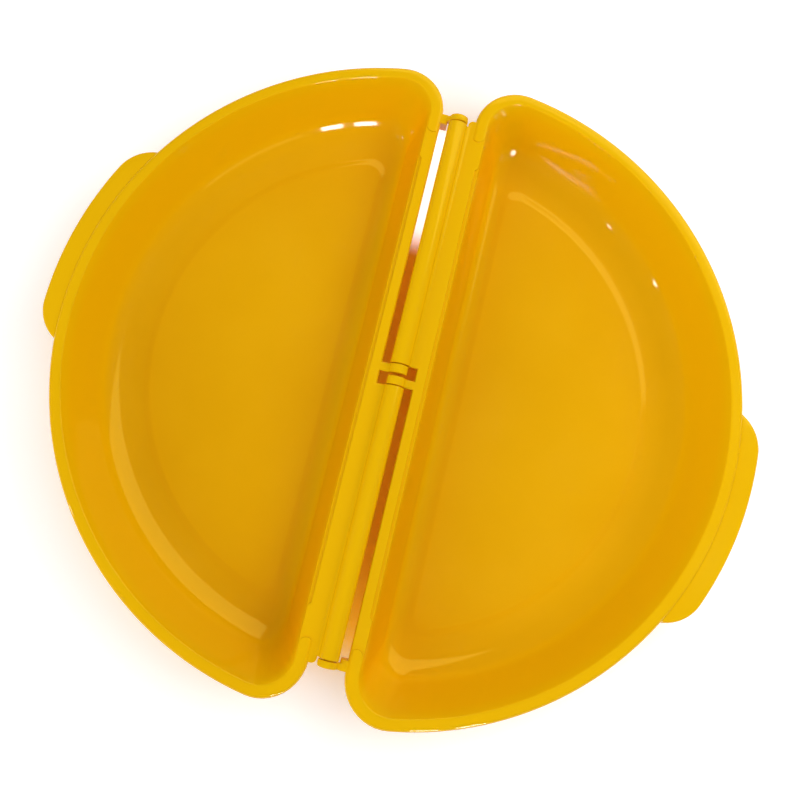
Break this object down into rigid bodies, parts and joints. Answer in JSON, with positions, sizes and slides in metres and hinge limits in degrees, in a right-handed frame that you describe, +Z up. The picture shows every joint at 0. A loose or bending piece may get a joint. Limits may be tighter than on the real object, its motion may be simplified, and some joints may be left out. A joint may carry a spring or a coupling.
{
  "type": "folding microwave omelette maker",
  "caption": "Folding microwave omelette maker: half-moon trays with grip tabs, joined by a snap hinge so that one closes over the other.",
  "frame": {"origin": "on the table under the middle of the hinge, with the trays open flat", "axes": "+Y along the hinge, +X across the hinge towards the right tray, +Z up"},
  "size_m": [0.238, 0.2124, 0.0273],
  "materials": {
    "tray_plastic": "glossy, slightly translucent yellow polypropylene"
  },
  "bodies": {
    "right_tray": {"right_tray": "tray_plastic"},
    "left_tray": {"left_tray": "tray_plastic"}
  },
  "joints": [
    {"name": "fold_hinge", "type": "hinge", "parent": "right_tray", "child": "left_tray", "pos_m": [0, 0, 0.02415], "axis": [0, 1, 0], "range_deg": [-67, 180]}
  ]
}
